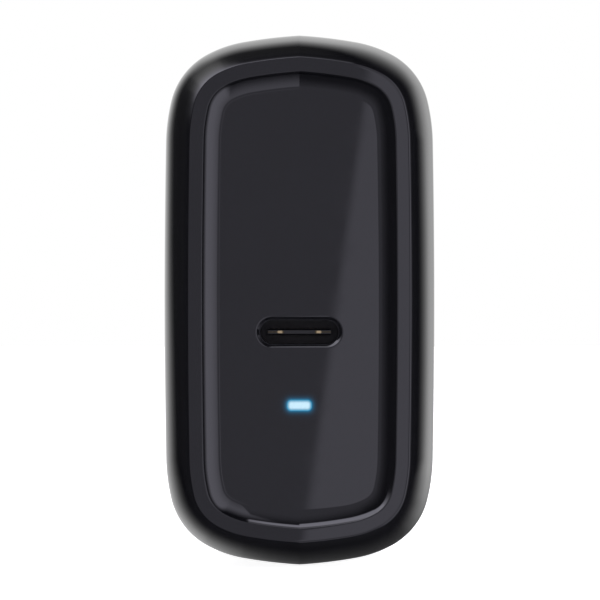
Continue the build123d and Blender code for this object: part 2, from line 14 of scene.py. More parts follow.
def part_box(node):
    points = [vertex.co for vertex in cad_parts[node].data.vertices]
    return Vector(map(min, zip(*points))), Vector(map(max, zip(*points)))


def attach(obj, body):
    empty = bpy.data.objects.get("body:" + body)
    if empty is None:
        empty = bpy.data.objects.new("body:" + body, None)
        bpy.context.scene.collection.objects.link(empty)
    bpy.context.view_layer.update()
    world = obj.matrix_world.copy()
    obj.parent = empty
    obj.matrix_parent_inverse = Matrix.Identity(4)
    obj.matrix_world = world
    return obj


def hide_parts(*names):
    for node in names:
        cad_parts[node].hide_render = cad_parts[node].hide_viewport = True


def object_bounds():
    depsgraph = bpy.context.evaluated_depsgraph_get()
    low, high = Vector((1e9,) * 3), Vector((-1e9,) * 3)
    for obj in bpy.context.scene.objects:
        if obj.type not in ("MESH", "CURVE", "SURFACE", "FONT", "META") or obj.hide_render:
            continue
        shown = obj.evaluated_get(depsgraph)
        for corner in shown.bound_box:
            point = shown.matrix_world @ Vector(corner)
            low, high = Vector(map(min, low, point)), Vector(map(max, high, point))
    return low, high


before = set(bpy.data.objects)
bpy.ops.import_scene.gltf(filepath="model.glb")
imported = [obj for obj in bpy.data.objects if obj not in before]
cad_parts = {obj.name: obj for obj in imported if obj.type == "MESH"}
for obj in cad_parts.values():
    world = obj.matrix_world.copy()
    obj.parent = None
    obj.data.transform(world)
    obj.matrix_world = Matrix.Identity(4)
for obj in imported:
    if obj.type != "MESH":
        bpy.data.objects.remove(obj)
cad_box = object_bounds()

MM = 0.001

# Outline of the body, as in the CAD, in millimetres and degrees: each arc's radius and the
# direction of its outward normal where it ends. The last arc ends at the ridge.
HALF_WIDTH = 14.46
OUTLINE_ARCS = [(915, 1.0555), (20.8, 13.4), (7.7, 61.8), (12.9, 79.9), (51.9, None)]
ARC_STEPS = [10, 14, 40, 18, 8]

# Section through the front housing, as in the CAD, except that the port's bevel is a degree
# flatter and its mouth sits a little to the side.
SHOULDER_R, SHOULDER_TURN, CREASE_R = 8.1, 47.5, 0.3
RING_INNER, LIP_R, LIP_TURN = 4.08, 0.1, 47
SLOPE_R, SLOPE_TURN, FOOT_R = 5.25, 21, 0.62
PANEL_EDGE, WALL, RIM_EDGE_R = 6.8, 1.8, 0.15
PORT_WIDTH, PORT_HEIGHT, PORT_BEVEL, BEVEL_TURN = 8.5, 2.66, 0.3, 44.0
MOUTH_OFFSET = -0.02  # how far the mouth sits to the side of the bevel round it
SEAT_WIDTH, SEAT_HEIGHT = 9.04, 3.26
LIGHT_WIDTH, LIGHT_HEIGHT, LIGHT_CORNER, LIGHT_GAP = 2.58, 1.12, 0.45, 0.03
HOLE_EDGE_R = 0.02
BEVEL_FLAT_SHARES = (0.06, 0.94, 1)  # places down the bevel that keep it flat in shading
TAB_START, TAB_END = 1.8, 2.3  # from the middle to the ends of the gold on the latch tabs
FLAT = 0.12  # short flat stretches beside the arcs, which keep the flat faces flat in shading
SHARPEST_SMOOTH = 25  # degrees between two faces above which their edge shows sharp

# Camera, in metres: how far it stands from the foremost ring, and how large the object shows.
CAMERA_DISTANCE = 0.430
SENSOR = 0.036
VIEW_WIDTH = 0.06342  # what the picture's width covers at the ring
CAMERA_X = 0.000064  # the camera stands a little right of the middle
FLOOR_GAP = 0.0002


def box_of(node):
    """Lowest and highest corner of a CAD node, in millimetres."""
    return [Vector(corner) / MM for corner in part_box(node)]


def middle_of(node):
    """Middle of a CAD node's box, in millimetres."""
    low, high = box_of(node)
    return (low + high) / 2


BODY_Z = middle_of("front_housing").z
FRONT_Y = box_of("front_housing")[0].y
RIM_Y = -3.0  # joint between the front housing and the rear cover
PANEL_Y = box_of("light_pipe")[0].y
SHELL_FRONT_Y = box_of("usb_c_shell")[0].y
PORT_Z = middle_of("usb_c_insulator").z
LIGHT_Z = middle_of("light_pipe").z


# Front housing


def outline_quarter(inset):
    """Points (x, z) of a quarter outline moved in by the inset, from the side to the ridge."""
    start, points = 0, []
    centre = Vector((HALF_WIDTH - OUTLINE_ARCS[0][0], 0))
    for (radius, end), steps in zip(OUTLINE_ARCS, ARC_STEPS):
        outward = Vector((cos(radians(start)), sin(radians(start))))
        if points:
            centre = joint - outward * radius
        else:
            points.append(centre + outward * (radius - inset))
        stop = end if end else degrees(acos(-centre.x / (radius - inset)))
        for step in range(1, steps + 1):
            angle = radians(start + (stop - start) * step / steps)
            points.append(centre + Vector((cos(angle), sin(angle))) * (radius - inset))
        if end:
            joint = centre + Vector((cos(radians(end)), sin(radians(end)))) * radius
            start = end
    return points


def outline(inset):
    """Points (x, z) of the whole outline, from the right side up and round."""
    quarter = outline_quarter(inset)
    right = [(p.x, p.y) for p in quarter]
    left = [(-x, z) for x, z in reversed(right[:-1])]
    upper = right + left
    lower = [(x, -z) for x, z in reversed(upper[1:-1])]
    return upper + lower


def add_arc(section, heading, radius, turn, steps):
    """Carry the section on by an arc; heading 0 runs to the front and 90 inwards."""
    inset, y = section[-1]
    signed = copysign(radius, turn)
    for step in range(1, steps + 1):
        angle = radians(heading + turn * step / steps)
        across = signed * (cos(radians(heading)) - cos(angle))
        along = signed * (sin(angle) - sin(radians(heading)))
        section.append((inset + across, y - along))
    return heading + turn


def front_section():
    """Outside of the front housing as (inset, y), from the rim over the ring to the panel."""
    turn = radians(SHOULDER_TURN)
    drop = SHOULDER_R * sin(turn) + CREASE_R * (1 - sin(turn))
    section = [(RIM_EDGE_R, RIM_Y)]
    heading = add_arc(section, -90, RIM_EDGE_R, 90, 6)
    section.append((0, section[-1][1] - FLAT))
    section.append((0, FRONT_Y + drop + FLAT))
    section.append((0, FRONT_Y + drop))
    heading = add_arc(section, heading, SHOULDER_R, SHOULDER_TURN, 30)
    heading = add_arc(section, heading, CREASE_R, 90 - SHOULDER_TURN, 12)
    section.append((section[-1][0] + FLAT, FRONT_Y))
    section.append((RING_INNER - FLAT, FRONT_Y))
    section.append((RING_INNER, FRONT_Y))
    heading = add_arc(section, heading, LIP_R, LIP_TURN, 10)
    heading = add_arc(section, heading, SLOPE_R, -SLOPE_TURN, 14)
    add_arc(section, heading, FOOT_R, SLOPE_TURN - LIP_TURN, 8)
    section.append((section[-1][0] + FLAT, section[-1][1]))
    section.append((PANEL_EDGE, section[-1][1]))
    return section


def inner_section():
    """Inside of the front housing as (inset, y), from the panel's back to the rim."""
    shoulder_y = FRONT_Y + SHOULDER_R * sin(radians(SHOULDER_TURN)) + 0.2
    shoulder = [(WALL, shoulder_y)]
    add_arc(shoulder, 0, SHOULDER_R - WALL, SHOULDER_TURN / 2, 6)
    back_y = PANEL_Y + WALL
    section = [(PANEL_EDGE, back_y), (shoulder[-1][0], back_y)]
    return section + shoulder[::-1] + [(WALL, RIM_Y)]


def rounded_loop(width, height, corner, y, centre_z, steps=10):
    """Points of a rounded rectangle that faces the front."""
    loop = []
    for quarter, (sx, sz) in enumerate([(1, 1), (-1, 1), (-1, -1), (1, -1)]):
        cx, cz = sx * (width / 2 - corner), sz * (height / 2 - corner)
        for step in range(steps + 1):
            angle = radians(90 * (quarter + step / steps))
            across, up = cx + corner * cos(angle), cz + corner * sin(angle)
            loop.append(Vector((across, y, centre_z + up)))
    return [point for i, point in enumerate(loop) if (point - loop[i - 1]).length > 1e-6]


def port_loops():
    """Loops down the USB-C opening: rounded bevel, straight mouth and the wider shell seat."""
    section = [(-PORT_BEVEL - FLAT, PANEL_Y), (-PORT_BEVEL, PANEL_Y)]
    heading = add_arc(section, 90, HOLE_EDGE_R, BEVEL_TURN, 4)
    inset, y = section[-1]
    run = -inset - HOLE_EDGE_R * (1 - sin(radians(BEVEL_TURN)))
    slope = tan(radians(BEVEL_TURN))
    for share in BEVEL_FLAT_SHARES:
        section.append((inset + run * share, y + run * share * slope))
    first_moved = len(section) - 2
    add_arc(section, heading, HOLE_EDGE_R, 90 - BEVEL_TURN, 4)
    sizes = [(PORT_WIDTH - 2 * s, PORT_HEIGHT - 2 * s, y) for s, y in section]
    sizes.append((PORT_WIDTH, PORT_HEIGHT, SHELL_FRONT_Y))
    sizes.append((SEAT_WIDTH, SEAT_HEIGHT, SHELL_FRONT_Y))
    sizes.append((SEAT_WIDTH, SEAT_HEIGHT, PANEL_Y + WALL))
    loops = [rounded_loop(w, h, h / 2, y, PORT_Z, 20) for w, h, y in sizes]
    for loop in loops[first_moved:]:
        for point in loop:
            point.x += MOUTH_OFFSET
    return loops


def light_loops():
    """Loops down the opening of the status window."""
    section = [(-HOLE_EDGE_R - FLAT, PANEL_Y), (-HOLE_EDGE_R, PANEL_Y)]
    add_arc(section, 90, HOLE_EDGE_R, 90, 4)
    section.append((0, PANEL_Y + WALL))
    loops = []
    for inset, y in section:
        grow = LIGHT_GAP - inset
        size = (LIGHT_WIDTH + 2 * grow, LIGHT_HEIGHT + 2 * grow, LIGHT_CORNER + grow)
        loops.append(rounded_loop(*size, y, LIGHT_Z))
    return loops


def skin(mesh, loops):
    """Quads between neighbouring loops given in millimetres; returns the loops' vertices."""
    rings = [[mesh.verts.new(Vector(point) * MM) for point in loop] for loop in loops]
    for first, second in zip(rings, rings[1:]):
        bridge(mesh, first, second)
    return rings


def bridge(mesh, first, second):
    """Ring of quads between two loops with the same number of vertices."""
    for i, vertex in enumerate(first):
        before = i - 1
        mesh.faces.new((first[before], vertex, second[i], second[before]))


def fill(mesh, loops):
    """Flat face inside the first loop, with the other loops as its holes."""
    vertices = [vertex for loop in loops for vertex in loop]
    for triangle in tessellate_polygon([[v.co for v in loop] for loop in loops]):
        mesh.faces.new([vertices[i] for i in triangle])


def finish_mesh(mesh, name, sharp_angle, sharp_edges):
    """Object from the mesh, smooth but for its sharp edges."""
    bmesh.ops.recalc_face_normals(mesh, faces=mesh.faces)
    for face in mesh.faces:
        face.smooth = True
    for edge in mesh.edges:
        if edge.calc_face_angle(0) > radians(sharp_angle):
            edge.smooth = False
    for edge in sharp_edges:
        edge.smooth = False
    data = bpy.data.meshes.new(name)
    mesh.to_mesh(data)
    mesh.free()
    piece = bpy.data.objects.new(name, data)
    bpy.context.scene.collection.objects.link(piece)
    return piece


def make_front_shell():
    """Cup with a rounded shoulder, a raised ring and a sunk panel with two openings."""
    mesh = bmesh.new()
    skins = []
    for section in (front_section(), inner_section()):
        loops = [[(x, y, z + BODY_Z) for x, z in outline(inset)] for inset, y in section]
        skins.append(skin(mesh, loops))
    outside, inside = skins
    bridge(mesh, inside[-1], outside[0])
    port, light = skin(mesh, port_loops()), skin(mesh, light_loops())
    fill(mesh, [outside[-1], port[0], light[0]])
    fill(mesh, [inside[0], port[-1], light[-1]])
    top = sum(ARC_STEPS)
    ridges = [
        mesh.edges.get((first[i], second[i]))
        for first, second in zip(outside, outside[1:])
        for i in (top, 3 * top)
    ]
    return finish_mesh(mesh, "front_shell", SHARPEST_SMOOTH, ridges)


# Shader building blocks


def new_material(name):
    """Material with a Principled shader and nothing else; returns it, its tree and the shader."""
    material = bpy.data.materials.new(name)
    material.use_nodes = True
    tree = material.node_tree
    tree.nodes.clear()
    shader = tree.nodes.new("ShaderNodeBsdfPrincipled")
    output = tree.nodes.new("ShaderNodeOutputMaterial")
    tree.links.new(shader.outputs["BSDF"], output.inputs["Surface"])
    return material, tree, shader


def feed(tree, value, socket):
    """Give a socket a number, a colour or another node's output."""
    if isinstance(value, bpy.types.NodeSocket):
        tree.links.new(value, socket)
    elif isinstance(value, tuple):
        socket.default_value = (*value, 1)
    else:
        socket.default_value = value


def maths(tree, operation, *values):
    """Output of a maths node."""
    node = tree.nodes.new("ShaderNodeMath")
    node.operation = operation
    for value, socket in zip(values, node.inputs):
        feed(tree, value, socket)
    return node.outputs[0]


def ramp(tree, value, start, end, low=0.0, high=1.0):
    """Smooth step from low to high while the value goes from start to end."""
    node = tree.nodes.new("ShaderNodeMapRange")
    node.interpolation_type = "SMOOTHSTEP"
    names = ("Value", "From Min", "From Max", "To Min", "To Max")
    for name, given in zip(names, (value, start, end, low, high)):
        feed(tree, given, node.inputs[name])
    return node.outputs["Result"]


def mix(tree, factor, first, second):
    """Mix of two colours."""
    node = tree.nodes.new("ShaderNodeMix")
    node.data_type = "RGBA"
    sockets = [socket for socket in node.inputs if socket.enabled]
    for value, socket in zip((factor, first, second), sockets):
        feed(tree, value, socket)
    return next(socket for socket in node.outputs if socket.enabled)


def place(tree):
    """Position on the piece, in metres."""
    return tree.nodes.new("ShaderNodeTexCoord").outputs["Object"]


def parts_of(tree, vector):
    """The x, y and z of a vector."""
    split = tree.nodes.new("ShaderNodeSeparateXYZ")
    tree.links.new(vector, split.inputs["Vector"])
    return [split.outputs[axis] for axis in "XYZ"]


def spots(tree, scale, stretch=(1, 1, 1), detail=3.0):
    """Noise value from 0 to 1; the scale is about the number of spots in a metre."""
    mapping = tree.nodes.new("ShaderNodeMapping")
    mapping.inputs["Scale"].default_value = stretch
    node = tree.nodes.new("ShaderNodeTexNoise")
    node.inputs["Scale"].default_value = scale
    node.inputs["Detail"].default_value = detail
    tree.links.new(place(tree), mapping.inputs["Vector"])
    tree.links.new(mapping.outputs["Vector"], node.inputs["Vector"])
    return node.outputs["Fac"]


def spread(tree, value, low, high):
    """Noise value stretched to run from low to high."""
    return ramp(tree, value, 0.3, 0.7, low, high)


def relief(tree, shader, height, depth):
    """Bump of the given depth in metres."""
    node = tree.nodes.new("ShaderNodeBump")
    node.inputs["Distance"].default_value = depth
    tree.links.new(height, node.inputs["Height"])
    tree.links.new(node.outputs["Normal"], shader.inputs["Normal"])


def worn_edges(tree, radius):
    """1 in worn patches along the edges and 0 on open faces."""
    bevel = tree.nodes.new("ShaderNodeBevel")
    bevel.inputs["Radius"].default_value = radius
    geometry = tree.nodes.new("ShaderNodeNewGeometry")
    compare = tree.nodes.new("ShaderNodeVectorMath")
    compare.operation = "DOT_PRODUCT"
    tree.links.new(bevel.outputs["Normal"], compare.inputs[0])
    tree.links.new(geometry.outputs["Normal"], compare.inputs[1])
    edge = ramp(tree, compare.outputs["Value"], 0.98, 0.85)
    patches = ramp(tree, spots(tree, 1800), 0.35, 0.65)
    return maths(tree, "MULTIPLY", edge, patches)


def distance_from_light(tree):
    """Distance in metres outside the status window's outline, negative inside it."""
    corner = LIGHT_CORNER * MM
    x, _, z = parts_of(tree, place(tree))
    up = maths(tree, "SUBTRACT", z, LIGHT_Z * MM)
    half_width, half_height = LIGHT_WIDTH * MM / 2, LIGHT_HEIGHT * MM / 2
    across = maths(tree, "SUBTRACT", maths(tree, "ABSOLUTE", x), half_width - corner)
    upward = maths(tree, "SUBTRACT", maths(tree, "ABSOLUTE", up), half_height - corner)
    beyond_x = maths(tree, "MAXIMUM", across, 0.0)
    beyond_z = maths(tree, "MAXIMUM", upward, 0.0)
    squares = maths(tree, "MULTIPLY", beyond_x, beyond_x)
    squares = maths(tree, "MULTIPLY_ADD", beyond_z, beyond_z, squares)
    inside = maths(tree, "MINIMUM", maths(tree, "MAXIMUM", across, upward), 0.0)
    inside = maths(tree, "SUBTRACT", inside, corner)
    return maths(tree, "ADD", maths(tree, "SQRT", squares), inside)


# Materials

# Painted glow round the lit window: the light it would cast on the gloss round it, painted on the
# housing as emission; and the window's own edge.
PAINTED_HALO_COLOUR, PAINTED_HALO_REACH = (0.0, 0.5, 1.0), 0.00017
PAINTED_HALO_LEVEL, PAINTED_HALO_MOST = 0.34, 0.5
WINDOW_EDGE, WINDOW_MIDDLE = (0.03, 0.24, 0.40), (0.56, 0.78, 0.90)

# Plating of the USB-C mid plate: gold on its latch tabs and uncoated metal beside them, whose
# near-black tone is painted shade standing in for the shade inside the port.
TAB_GOLD_DARK, TAB_GOLD_LIGHT = (0.50, 0.39, 0.21), (0.60, 0.48, 0.28)
SHADED_BARE_PLATE = (0.07, 0.058, 0.036)
PLATING_BLUR = 0.0001


def gloss_black():
    """Polished black moulding, with a blue glow round the lit window painted on as emission."""
    material, tree, shader = new_material("gloss_black")
    edge = worn_edges(tree, 0.00006)
    haze = ramp(tree, spots(tree, 400), 0.35, 0.75, 0.012, 0.026)
    feed(tree, maths(tree, "MULTIPLY_ADD", edge, 0.12, haze), shader.inputs["Roughness"])
    tone = mix(tree, spots(tree, 300), (0.0034, 0.0034, 0.0042), (0.0042, 0.0042, 0.0052))
    feed(tree, tone, shader.inputs["Base Color"])
    relief(tree, shader, spots(tree, 60, detail=0.0), 6e-7)
    # Painted glow: the housing itself emits blue light, fading with distance from the window's
    # outline.
    painted_halo = maths(tree, "DIVIDE", distance_from_light(tree), -PAINTED_HALO_REACH)
    painted_halo = maths(tree, "MULTIPLY", maths(tree, "EXPONENT", painted_halo), PAINTED_HALO_LEVEL)
    feed(tree, PAINTED_HALO_COLOUR, shader.inputs["Emission Color"])
    feed(tree, maths(tree, "MINIMUM", painted_halo, PAINTED_HALO_MOST), shader.inputs["Emission Strength"])
    return material


def lit_window():
    """Frosted window lit from behind: near white in the middle and blue at its edge."""
    material, tree, shader = new_material("lit_window")
    middle = ramp(tree, distance_from_light(tree), 0.00002, -0.00036)
    colour = mix(tree, middle, WINDOW_EDGE, WINDOW_MIDDLE)
    feed(tree, colour, shader.inputs["Emission Color"])
    feed(tree, spread(tree, spots(tree, 6000), 0.97, 1.03), shader.inputs["Emission Strength"])
    feed(tree, (0.02, 0.05, 0.07), shader.inputs["Base Color"])
    feed(tree, spread(tree, spots(tree, 9000), 0.3, 0.45), shader.inputs["Roughness"])
    relief(tree, shader, spots(tree, 12000), 4e-6)
    return material


def latch_plate():
    """Gold on the latch tabs of the plug's mid plate; beside them uncoated metal, darkened as
    painted shade.
    """
    material, tree, shader = new_material("latch_plate")
    shader.inputs["Metallic"].default_value = 1.0
    beside = maths(tree, "ABSOLUTE", parts_of(tree, place(tree))[0])
    start, end = TAB_START * MM, TAB_END * MM
    outer = ramp(tree, beside, end - PLATING_BLUR, end + 1.5 * PLATING_BLUR)
    inner = ramp(tree, beside, start + 1.5 * PLATING_BLUR, start - PLATING_BLUR)
    shaded_bare = maths(tree, "MAXIMUM", outer, inner)
    tarnish = spots(tree, 5000)
    gold = mix(tree, tarnish, TAB_GOLD_DARK, TAB_GOLD_LIGHT)
    # Painted shade: the uncoated metal beside the tabs gets a near-black tone for the shade inside
    # the port.
    feed(tree, mix(tree, shaded_bare, gold, SHADED_BARE_PLATE), shader.inputs["Base Color"])
    feed(tree, spread(tree, tarnish, 0.25, 0.4), shader.inputs["Roughness"])
    relief(tree, shader, spots(tree, 9000), 1e-6)
    return material


def moulded(name, dark, light, rough, grain, depth):
    """Plastic or ceramic with a fine grain, slightly polished where its edges are handled."""
    material, tree, shader = new_material(name)
    feed(tree, mix(tree, spots(tree, grain / 6), dark, light), shader.inputs["Base Color"])
    base = spread(tree, spots(tree, grain / 3), rough - 0.05, rough + 0.05)
    edge = worn_edges(tree, 0.00015)
    feed(tree, maths(tree, "MULTIPLY_ADD", edge, -0.15, base), shader.inputs["Roughness"])
    relief(tree, shader, spots(tree, grain), depth)
    return material


def tongue_resin():
    """Satin black resin of the tongue, glossier and darker than the insulator behind it."""
    dark, light = (0.003, 0.003, 0.0035), (0.005, 0.005, 0.0055)
    return moulded("tongue_resin", dark, light, 0.35, 9000, 1e-6)


def plated(name, dark, light, worn, rough, stretch=(1, 1, 1)):
    """Metal with a fine grain drawn out along one axis, and its base tone on worn edges."""
    material, tree, shader = new_material(name)
    shader.inputs["Metallic"].default_value = 1.0
    lines = spots(tree, 9000, stretch)
    edge = worn_edges(tree, 0.00008)
    feed(tree, mix(tree, edge, mix(tree, lines, dark, light), worn), shader.inputs["Base Color"])
    smears = spread(tree, spots(tree, 500), rough - 0.05, rough + 0.06)
    feed(tree, maths(tree, "MULTIPLY_ADD", lines, 0.08, smears), shader.inputs["Roughness"])
    relief(tree, shader, lines, 1.5e-6)
    return material


# Looks of the record's material slots. Plastics: two tones, roughness, grains in a metre and
# depth of the grain. Metals: two tones, worn tone, roughness and how the grain is stretched.
PLASTICS = {
    "cover_plastic": ((0.008, 0.008, 0.009), (0.014, 0.014, 0.015), 0.48, 5500, 9e-6),
    "lamp": ((0.7, 0.75, 0.5), (0.85, 0.85, 0.6), 0.3, 6000, 1e-6),
    "black_resin": ((0.0035, 0.0035, 0.004), (0.006, 0.006, 0.0065), 0.42, 9000, 2e-6),
    "carrier_resin": ((0.010, 0.010, 0.011), (0.017, 0.017, 0.018), 0.5, 6500, 6e-6),
    "board_green": ((0.015, 0.09, 0.035), (0.025, 0.13, 0.05), 0.3, 4000, 3e-6),
    "ferrite": ((0.03, 0.03, 0.032), (0.06, 0.06, 0.062), 0.6, 7000, 5e-6),
    "tape_yellow": ((0.62, 0.44, 0.04), (0.75, 0.55, 0.07), 0.3, 2500, 4e-6),
    "cap_yellow": ((0.60, 0.36, 0.03), (0.72, 0.45, 0.05), 0.4, 3500, 4e-6),
    "disc_blue": ((0.02, 0.09, 0.30), (0.03, 0.13, 0.40), 0.25, 1500, 8e-6),
    "fuse_brown": ((0.09, 0.03, 0.015), (0.13, 0.045, 0.02), 0.35, 3000, 4e-6),
    "pad_grey": ((0.25, 0.26, 0.29), (0.33, 0.34, 0.37), 0.8, 5000, 8e-6),
    "sheet_film": ((0.55, 0.53, 0.45), (0.66, 0.64, 0.56), 0.35, 2000, 3e-6),
    "can_sleeve": ((0.012, 0.012, 0.03), (0.02, 0.02, 0.045), 0.28, 1500, 4e-6),
}
METALS = {
    "dark_steel": ((0.03, 0.03, 0.032), (0.05, 0.05, 0.053), (0.09, 0.09, 0.09), 0.35, (1, 0.1, 1)),
    "gold": ((0.80, 0.52, 0.18), (0.95, 0.66, 0.26), (0.9, 0.6, 0.3), 0.22, (1, 0.2, 1)),
    "nickel_brass": ((0.58, 0.56, 0.53), (0.70, 0.68, 0.64), (0.62, 0.5, 0.3), 0.34, (1, 0.05, 1)),
    "spring_bronze": ((0.60, 0.34, 0.16), (0.72, 0.42, 0.2), (0.8, 0.5, 0.3), 0.25, (1, 0.1, 1)),
    "steel": ((0.42, 0.42, 0.44), (0.55, 0.55, 0.57), (0.7, 0.7, 0.7), 0.25, (1, 1, 0.2)),
    "copper": ((0.55, 0.2, 0.07), (0.75, 0.3, 0.1), (0.8, 0.4, 0.2), 0.3, (1, 1, 12)),
    "aluminium": ((0.6, 0.6, 0.62), (0.72, 0.72, 0.74), (0.8, 0.8, 0.8), 0.35, (1, 1, 0.05)),
}


def slot_materials():
    """Material of each slot in the record."""
    made = {name: moulded(name + "_look", *look) for name, look in PLASTICS.items()}
    made.update({name: plated(name + "_look", *look) for name, look in METALS.items()})
    made["gloss_housing"] = gloss_black()
    made["window"] = lit_window()
    return made


def dress_cad_nodes(materials):
    """Give every CAD node the material of its slot, or one of its own."""
    own = {"usb_c_mid_plate": latch_plate(), "usb_c_tongue": tongue_resin()}
    for name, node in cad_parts.items():
        for slot in node.material_slots:
            slot.material = own.get(name, materials[slot.material.name])


# Studio

# The object mirrors a studio whose brightness depends on direction only: on the polar angle in
# degrees, 0 in front of the object and 180 behind it, and on the angle round the body, 0 on its
# right, 90 above it, 180 on its left and -90 below it. Each table gives a value by that angle.
#
# The levels were tuned for the front view alone: the brightness of the gloss in the reference
# photograph was measured, turned into a level by direction, rounded and entered here, and
# adjusted over many renders. They are not a real studio's lamps, and say nothing of other views.

# Dim room in front: where its light begins to fade.
ROOM_START = [
    (-180, 37), (-110, 40), (40, 40), (75, 50), (92, 52), (99, 47), (108, 46), (122, 40),
    (150, 39), (180, 37),
]
ROOM_FADE, ROOM_LEVEL, ROOM_FLOOR = 34.0, 0.55, 0.05
FRONT_END, FRONT_FULL = 106, 90  # the front's light is gone, and is still whole

# White card on the right: its strength round the body, and where it ends towards the back.
CARD_SPAN = [
    (-180, 0), (-72, 0), (-62, 0.65), (-50, 1), (52, 1), (64, 0.85), (82, 0.85), (90, 0),
    (180, 0),
]
CARD_END = [(-180, 91), (50, 91), (70, 84), (180, 84)]
CARD_FULL = [(-180, 78), (40, 78), (68, 60), (180, 60)]
# Its slanting edge, as shares of y and z added to x, and half the width over which it blurs:
# near the middle of the front, and further out.
NEAR_EDGE, NEAR_BLUR = (0.0083, -0.14), 0.0026
FAR_EDGE, FAR_BLUR = (0.31, -0.0335), 0.03
NEAR_CARD_FADE, NEAR_CARD_LEVEL = (12, 4), 1.2
FAR_CARD_RISE, FAR_CARD_LEVELS = (30, 70), (0.55, 1.7)

# Small card below and to the right: its two sides round the body, its start and its fade.
LOW_CARD_LEFT, LOW_CARD_RIGHT = (-91, -89.5), (-50, -60)
LOW_CARD_START, LOW_CARD_FADE, LOW_CARD_LEVELS = (42, 50), (88, 48), (0.08, 1.15)

# Strip light above and to the left: its brightness, how many degrees it takes to fade, the
# polar angle from which it fades, and the polar angle of its sharp front edge.
KEY_LEVEL = [
    (-180, 0), (77, 0), (80, 2.3), (83, 3), (93, 3.2), (120, 3.0), (135, 3.3), (143, 2.6),
    (150, 1.8), (158, 0.95), (168, 0.25), (174, 0), (180, 0),
]
KEY_REACH = [
    (-180, 5), (78, 1.5), (97, 1.8), (106, 3.6), (113, 8), (122, 14), (131, 14), (141, 10),
    (151, 8), (160, 5), (180, 5),
]
KEY_TOP = [(-180, 86), (98, 86), (114, 87.5), (125, 90), (180, 90)]
KEY_EDGE = [
    (-180, 81), (80, 79), (92, 77), (100, 75), (112, 76), (130, 79), (145, 80), (180, 80),
]
KEY_ONSET = 3.0

# Pale walls behind: their brightness, their brightness furthest behind, and the polar angles
# between which they rise. A faint haze lies before them.
WALL_LEVEL = [
    (-180, 0.98), (-173, 1.17), (-150, 1.4), (-132, 1.5), (-120, 1.2), (-110, 0.88),
    (-101, 0.52), (-91, 0.13), (-60, 0.12), (-42, 0.4), (-30, 0.85), (-20, 1.14),
    (-14, 1.5), (-10, 1.72), (-6, 1.9), (0, 1.78), (6, 1.84), (15, 1.86), (30, 1.75),
    (45, 1.72), (60, 1.93), (75, 1.96), (90, 1.85), (112, 1.65), (122, 1.36), (135, 1.1),
    (150, 1.08), (168, 1.1), (180, 0.98),
]
WALL_FAR = [
    (-180, 1.05), (-165, 1.12), (-130, 0.96), (-112, 0.62), (-101, 0.36), (-90, 0.13),
    (-60, 0.1), (-40, 0.23), (-25, 0.42), (-10, 0.68), (0, 0.78), (45, 0.88), (90, 1.08),
    (180, 1.05),
]
WALL_START = [
    (-180, 114), (-172, 106), (-155, 99), (-30, 94), (-18, 94), (-8, 96.5), (0, 100.5),
    (6, 97), (15, 96.5), (30, 97), (60, 92), (70, 94), (80, 99), (90, 109), (110, 109),
    (120, 109), (135, 115), (165, 119), (180, 114),
]
WALL_FULL = [
    (-180, 150), (-172, 143), (-150, 138), (-60, 130), (-20, 126), (-8, 125), (0, 135),
    (6, 127), (15, 127), (30, 133), (60, 136), (90, 138), (110, 139), (122, 143),
    (135, 150), (150, 159), (168, 162), (180, 150),
]
FAR_START, FAR_FULL = 132, 164
HAZE_LEVEL = [
    (-180, 0.05), (-165, 0), (78, 0), (85, 0.1), (108, 0.14), (114, 0.2), (122, 0.2),
    (132, 0.1), (150, 0.08), (180, 0.05),
]
HAZE_START, HAZE_FULL = 90, 100

# Tint of the light in front and behind, and the polar angles between which it changes.
FRONT_TINT, BACK_TINT = (0.97, 0.95, 1.12), (1.0, 1.0, 1.0)
TINT_START, TINT_END = 80, 110

FLOOR_HALF = 2.0


def level_round(tree, azimuth, points):
    """Level read from (degrees round the body, level) points joined by a smooth curve."""
    node = tree.nodes.new("ShaderNodeFloatCurve")
    node.mapping.use_clip = False
    curve = node.mapping.curves[0]
    for number, (degree, level) in enumerate(points):
        place_on_curve = (degree / 360 + 0.5, level)
        if number < 2:
            curve.points[number].location = place_on_curve
        else:
            curve.points.new(*place_on_curve)
    node.mapping.update()
    share = maths(tree, "MULTIPLY_ADD", azimuth, 1 / 360, 0.5)
    feed(tree, share, node.inputs["Value"])
    return node.outputs["Value"]


def product(tree, *values):
    """All the values multiplied together."""
    result = values[0]
    for value in values[1:]:
        result = maths(tree, "MULTIPLY", result, value)
    return result


def studio_direction(tree):
    """Direction's x, y and z, its polar angle from the front and its angle round the body."""
    direction = tree.nodes.new("ShaderNodeTexCoord").outputs["Generated"]
    x, y, z = parts_of(tree, direction)
    forward = maths(tree, "MULTIPLY", y, -1.0)
    polar = maths(tree, "DEGREES", maths(tree, "ARCCOSINE", forward))
    azimuth = maths(tree, "DEGREES", maths(tree, "ARCTAN2", z, x))
    return (x, y, z), polar, azimuth


def room_light(tree, polar, azimuth):
    """Dim room in front."""
    start = level_round(tree, azimuth, ROOM_START)
    end = maths(tree, "ADD", start, ROOM_FADE)
    return ramp(tree, polar, start, end, ROOM_LEVEL, ROOM_FLOOR)


def beyond_edge(tree, direction, edge, blur):
    """1 to the right of a slanting edge and 0 to its left, blurred over the edge."""
    x, y, z = direction
    share_y, share_z = edge
    lean = maths(tree, "MULTIPLY_ADD", z, share_z, x)
    beyond = maths(tree, "MULTIPLY_ADD", y, share_y, lean)
    return ramp(tree, beyond, -blur, blur)


